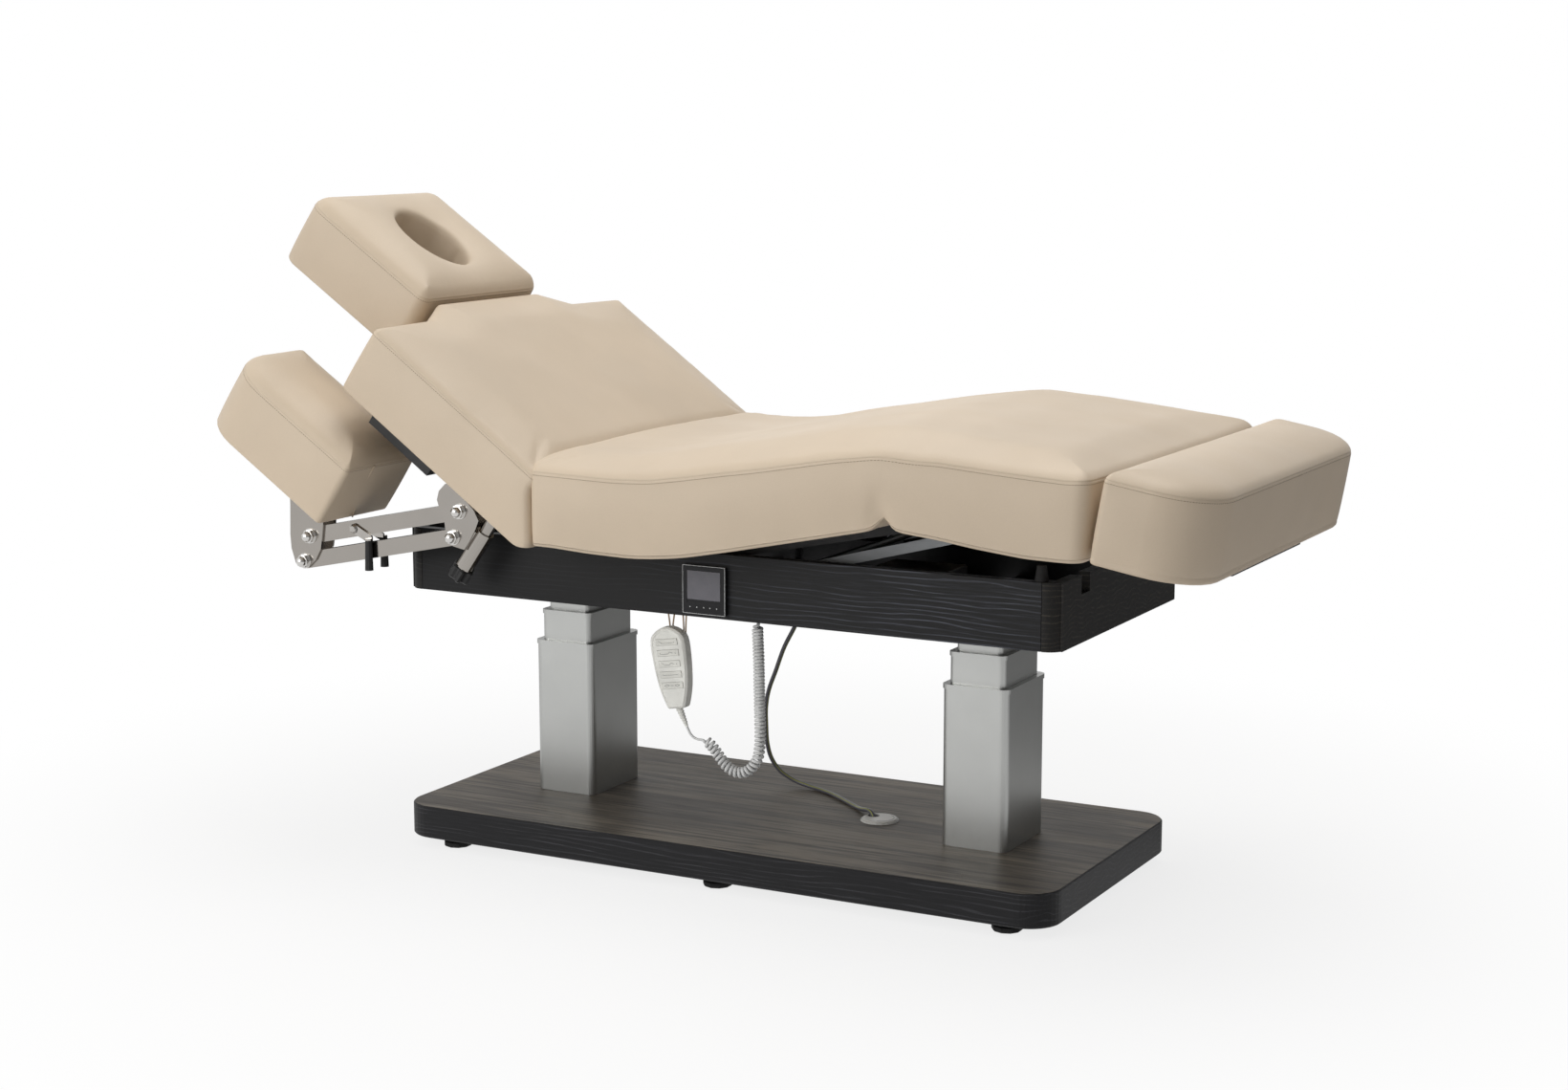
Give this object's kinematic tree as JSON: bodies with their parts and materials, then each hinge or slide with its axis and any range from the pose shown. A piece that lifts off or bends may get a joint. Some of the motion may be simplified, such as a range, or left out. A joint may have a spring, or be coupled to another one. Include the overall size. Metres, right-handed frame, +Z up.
{
  "type": "electric spa table",
  "caption": "Electric spa and massage table with a rising backrest, bending leg rest, face cushion, swinging arm rest, wired handset and lifting columns.",
  "frame": {"origin": "middle of the footprint, on the floor", "axes": "+X towards the foot end, -Y towards the side with the handset, +Z up"},
  "size_m": [1.9622, 0.864, 1.1905],
  "materials": {
    "plinth_oak": "satin",
    "cabinet_oak": "satin",
    "black_steel": "satin",
    "black_rubber": "matte",
    "aluminium": "satin",
    "grey_plastic": "satin",
    "zinc": "satin",
    "black_plastic": "satin",
    "control_glass": "gloss",
    "tan_vinyl": "satin",
    "chrome": "polished",
    "wire": "satin",
    "white_plastic": "satin",
    "grey_cord": "satin",
    "dark_cord": "satin"
  },
  "bodies": {
    "base": {"base_cover": "plinth_oak", "base_tray": "black_steel", "head_near_foot": "black_rubber", "head_far_foot": "black_rubber", "middle_near_foot": "black_rubber", "middle_far_foot": "black_rubber", "leg_near_foot": "black_rubber", "leg_far_foot": "black_rubber", "cable_grommet": "grey_plastic", "head_outer_tube": "aluminium", "foot_outer_tube": "aluminium", "head_lift_screw": "zinc", "foot_lift_screw": "zinc"},
    "middle_stages": {"head_middle_tube": "aluminium", "foot_middle_tube": "aluminium"},
    "carriage": {"head_inner_tube": "aluminium", "foot_inner_tube": "aluminium", "lift_chassis": "black_steel", "near_side_panel": "cabinet_oak", "far_side_panel": "cabinet_oak", "head_end_panel": "cabinet_oak", "foot_end_panel": "cabinet_oak", "power_unit": "black_plastic", "heat_control": "control_glass", "seat_cushion": "tan_vinyl", "near_rubber_stop": "black_rubber", "far_rubber_stop": "black_rubber", "handset_hook": "wire", "handset_case": "white_plastic", "handset_lead": "grey_cord", "curly_cord": "grey_cord", "supply_cable": "dark_cord", "back_actuator": "black_plastic", "leg_actuator": "black_plastic"},
    "backrest": {"back_frame": "black_steel", "back_cushion": "tan_vinyl", "arm_socket": "chrome"},
    "headrest": {"headrest_bars": "black_steel", "head_cushion": "tan_vinyl"},
    "back_rod": {"back_actuator_rod": "chrome"},
    "thigh_rest": {"thigh_deck": "black_steel", "thigh_cushion": "tan_vinyl"},
    "calf_rest": {"calf_deck": "black_steel", "calf_cushion": "tan_vinyl"},
    "foot_rest": {"foot_bars": "black_steel", "foot_cushion": "tan_vinyl"},
    "leg_rod": {"leg_actuator_rod": "chrome"},
    "calf_struts": {"calf_struts": "zinc"},
    "arm_post": {"arm_post": "chrome"},
    "arm_knob": {"arm_knob": "black_plastic"},
    "upper_link": {"upper_link": "chrome"},
    "lower_link": {"lower_link": "chrome"},
    "arm_rest": {"arm_bracket": "chrome", "arm_cushion": "tan_vinyl"},
    "arm_lock_lever": {"arm_lock_lever": "black_plastic"},
    "handset_key_1": {"handset_key_1": "white_plastic"},
    "handset_key_2": {"handset_key_2": "white_plastic"},
    "handset_key_3": {"handset_key_3": "white_plastic"},
    "handset_key_4": {"handset_key_4": "white_plastic"},
    "handset_key_5": {"handset_key_5": "white_plastic"}
  },
  "joints": [
    {"name": "lift", "type": "slide", "parent": "base", "child": "carriage", "axis": [0, 0, 1], "range_m": [-0.1, 0.25], "deforming": ["supply_cable"]},
    {"name": "middle_stages_slide", "type": "slide", "parent": "base", "child": "middle_stages", "axis": [0, 0, 1], "range_m": [-0.05, 0.125]},
    {"name": "backrest_hinge", "type": "hinge", "parent": "carriage", "child": "backrest", "pos_m": [-0.31123, 0.018, 0.596], "axis": [0, 1, 0], "range_deg": [-35.5, 30], "deforming": ["back_cushion"]},
    {"name": "back_rod_slide", "type": "slide", "parent": "carriage", "child": "back_rod", "axis": [-0.9999, 0, 0.0105], "range_m": [-0.02659, 0.0225]},
    {"name": "headrest_slide", "type": "slide", "parent": "backrest", "child": "headrest", "axis": [-0.8141, 0, 0.5807], "range_m": [0, 0.1]},
    {"name": "thigh_hinge", "type": "hinge", "parent": "carriage", "child": "thigh_rest", "pos_m": [-0.00923, 0.018, 0.596], "axis": [0, -1, 0], "range_deg": [-9.36, 13.44], "deforming": ["thigh_cushion"]},
    {"name": "knee_hinge", "type": "hinge", "parent": "thigh_rest", "child": "calf_rest", "pos_m": [0.42022, 0.018, 0.68415], "axis": [0, -1, 0], "range_deg": [-22.91, 15.97], "deforming": ["calf_cushion"]},
    {"name": "calf_strut_hinge", "type": "hinge", "parent": "carriage", "child": "calf_struts", "pos_m": [0.12577, 0.018, 0.575], "axis": [0, -1, 0], "range_deg": [-10.67, 15.3]},
    {"name": "leg_rod_slide", "type": "slide", "parent": "carriage", "child": "leg_rod", "axis": [1, 0, 0], "range_m": [-0.01059, 0.01511]},
    {"name": "foot_rest_slide", "type": "slide", "parent": "calf_rest", "child": "foot_rest", "axis": [0.9965, 0, -0.0837], "range_m": [0, 0.12]},
    {"name": "arm_swivel", "type": "hinge", "parent": "backrest", "child": "arm_post", "pos_m": [-0.38475, -0.327, 0.66686], "axis": [0.5807, 0, 0.8141], "range_deg": [0, 100]},
    {"name": "arm_knob_turn", "type": "hinge", "parent": "backrest", "child": "arm_knob", "pos_m": [-0.38475, -0.327, 0.66686], "axis": [0.5807, 0, 0.8141], "continuous": true},
    {"name": "upper_link_hinge", "type": "hinge", "parent": "arm_post", "child": "upper_link", "pos_m": [-0.4596, -0.327, 0.66007], "axis": [0, 1, 0], "range_deg": [-3.2, 11.5]},
    {"name": "lower_link_hinge", "type": "hinge", "parent": "arm_post", "child": "lower_link", "pos_m": [-0.47364, -0.327, 0.61208], "axis": [0, 1, 0], "range_deg": [-3.2, 11.5]},
    {"name": "arm_rest_hinge", "type": "hinge", "parent": "upper_link", "child": "arm_rest", "pos_m": [-0.79665, -0.327, 0.59027], "axis": [0, 1, 0], "range_deg": [-11.5, 3.2]},
    {"name": "arm_lock_hinge", "type": "hinge", "parent": "upper_link", "child": "arm_lock_lever", "pos_m": [-0.69579, -0.327, 0.61116], "axis": [0, 1, 0], "range_deg": [-15, 15]},
    {"name": "handset_key_1_rock", "type": "hinge", "parent": "carriage", "child": "handset_key_1", "pos_m": [-0.05758, -0.277, 0.36852], "axis": [-0.1513, 0, 0.9885], "range_deg": [-2.5, 2.5], "stiffness_Nm_per_rad": 0.2},
    {"name": "handset_key_2_rock", "type": "hinge", "parent": "carriage", "child": "handset_key_2", "pos_m": [-0.06053, -0.277, 0.38779], "axis": [-0.1513, 0, 0.9885], "range_deg": [-2.5, 2.5], "stiffness_Nm_per_rad": 0.2},
    {"name": "handset_key_3_rock", "type": "hinge", "parent": "carriage", "child": "handset_key_3", "pos_m": [-0.06348, -0.277, 0.40707], "axis": [-0.1513, 0, 0.9885], "range_deg": [-2.5, 2.5], "stiffness_Nm_per_rad": 0.2},
    {"name": "handset_key_4_rock", "type": "hinge", "parent": "carriage", "child": "handset_key_4", "pos_m": [-0.06643, -0.277, 0.42634], "axis": [-0.1513, 0, 0.9885], "range_deg": [-2.5, 2.5], "stiffness_Nm_per_rad": 0.2},
    {"name": "handset_key_5_rock", "type": "hinge", "parent": "carriage", "child": "handset_key_5", "pos_m": [-0.06938, -0.277, 0.44562], "axis": [-0.1513, 0, 0.9885], "range_deg": [-2.5, 2.5], "stiffness_Nm_per_rad": 0.2}
  ],
  "couplings": [
    {"joint": "middle_stages_slide", "follows": "lift", "ratio": 0.5},
    {"joint": "back_rod_slide", "follows": "backrest_hinge", "m_per_rad": 0.042593},
    {"joint": "knee_hinge", "follows": "thigh_hinge", "ratio": -1.7012},
    {"joint": "calf_strut_hinge", "follows": "thigh_hinge", "ratio": 1.1345},
    {"joint": "leg_rod_slide", "follows": "thigh_hinge", "m_per_rad": 0.063575},
    {"joint": "lower_link_hinge", "follows": "upper_link_hinge", "ratio": 1},
    {"joint": "arm_rest_hinge", "follows": "upper_link_hinge", "ratio": -1}
  ]
}
